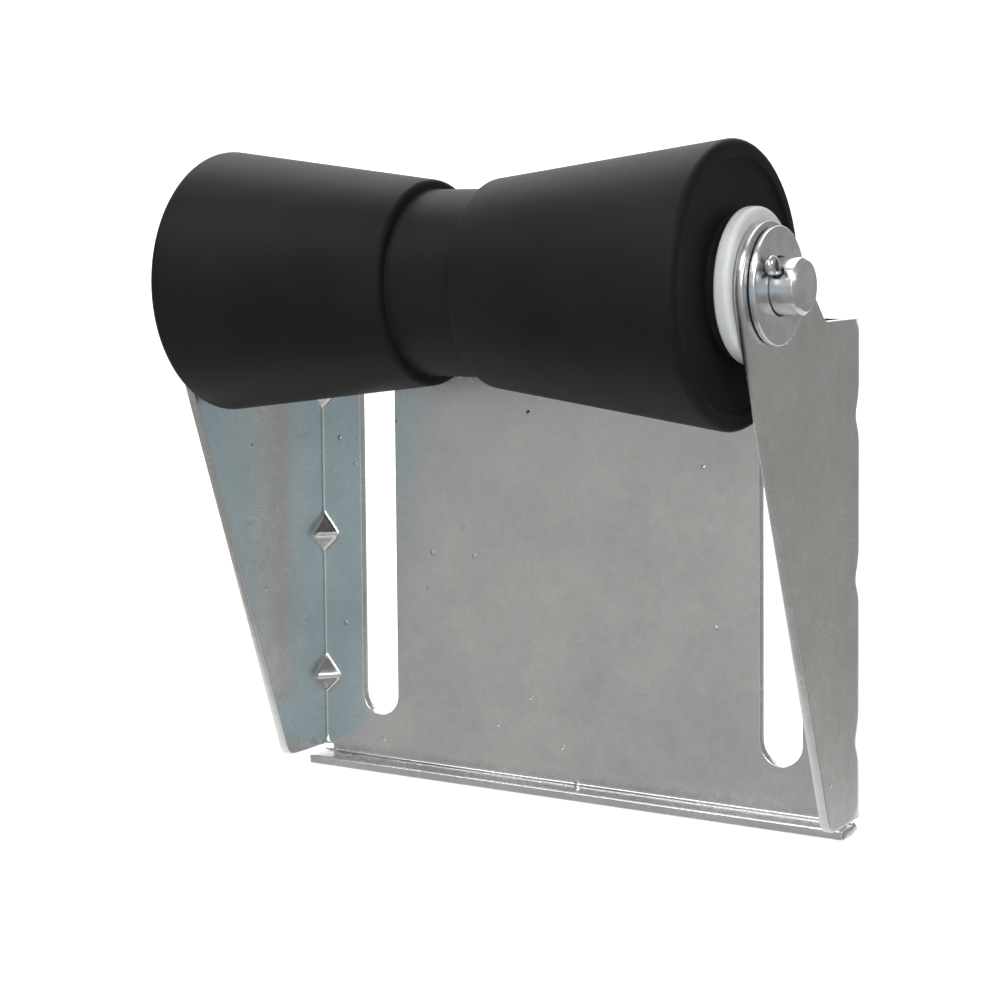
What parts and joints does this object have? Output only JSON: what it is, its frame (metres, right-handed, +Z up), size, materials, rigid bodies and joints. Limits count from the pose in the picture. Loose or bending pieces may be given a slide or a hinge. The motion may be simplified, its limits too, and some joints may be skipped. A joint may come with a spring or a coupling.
{
  "type": "bow roller",
  "caption": "Folded steel bracket with two vertical slots carrying a spool-shaped rubber roller that turns on a steel pin between its ears.",
  "frame": {"origin": "middle of the bracket's flat back face, between the two slots", "axes": "+X along the roller's pin towards the right ear, +Y out of the back face towards the post it bolts to, +Z up"},
  "size_m": [0.222, 0.1057, 0.2097],
  "materials": {
    "galvanised_plate": "hot-dip galvanised, mid grey, mottled, half gloss, small zinc pimples",
    "black_rubber": "moulded black rubber, satin",
    "white_nylon": "natural white nylon, slightly translucent, smooth",
    "zinc_plated_steel": "bright zinc plate, smooth, half gloss"
  },
  "bodies": {
    "bracket": {"bracket": "galvanised_plate"},
    "axle": {"axle_pin": "zinc_plated_steel", "cotter_pin_left": "zinc_plated_steel", "cotter_pin_right": "zinc_plated_steel"},
    "roller": {"rubber_roller": "black_rubber", "bore_bushing_left": "white_nylon", "bore_bushing_right": "white_nylon"},
    "thrust_washer_left": {"thrust_washer_left": "white_nylon"},
    "thrust_washer_right": {"thrust_washer_right": "white_nylon"},
    "axle_washer_left": {"axle_washer_left": "zinc_plated_steel"},
    "axle_washer_right": {"axle_washer_right": "zinc_plated_steel"}
  },
  "joints": [
    {"name": "axle_turn", "type": "hinge", "parent": "bracket", "child": "axle", "pos_m": [0, -0.0645, 0.09], "axis": [1, 0, 0], "continuous": true},
    {"name": "roller_spin", "type": "hinge", "parent": "axle", "child": "roller", "pos_m": [0, -0.0645, 0.09], "axis": [1, 0, 0], "continuous": true},
    {"name": "thrust_washer_left_turn", "type": "hinge", "parent": "axle", "child": "thrust_washer_left", "pos_m": [-0.09535, -0.0645, 0.09], "axis": [1, 0, 0], "continuous": true},
    {"name": "thrust_washer_right_turn", "type": "hinge", "parent": "axle", "child": "thrust_washer_right", "pos_m": [0.09535, -0.0645, 0.09], "axis": [1, 0, 0], "continuous": true},
    {"name": "axle_washer_left_turn", "type": "hinge", "parent": "axle", "child": "axle_washer_left", "pos_m": [-0.10225, -0.0645, 0.09], "axis": [1, 0, 0], "continuous": true},
    {"name": "axle_washer_right_turn", "type": "hinge", "parent": "axle", "child": "axle_washer_right", "pos_m": [0.10225, -0.0645, 0.09], "axis": [1, 0, 0], "continuous": true}
  ]
}
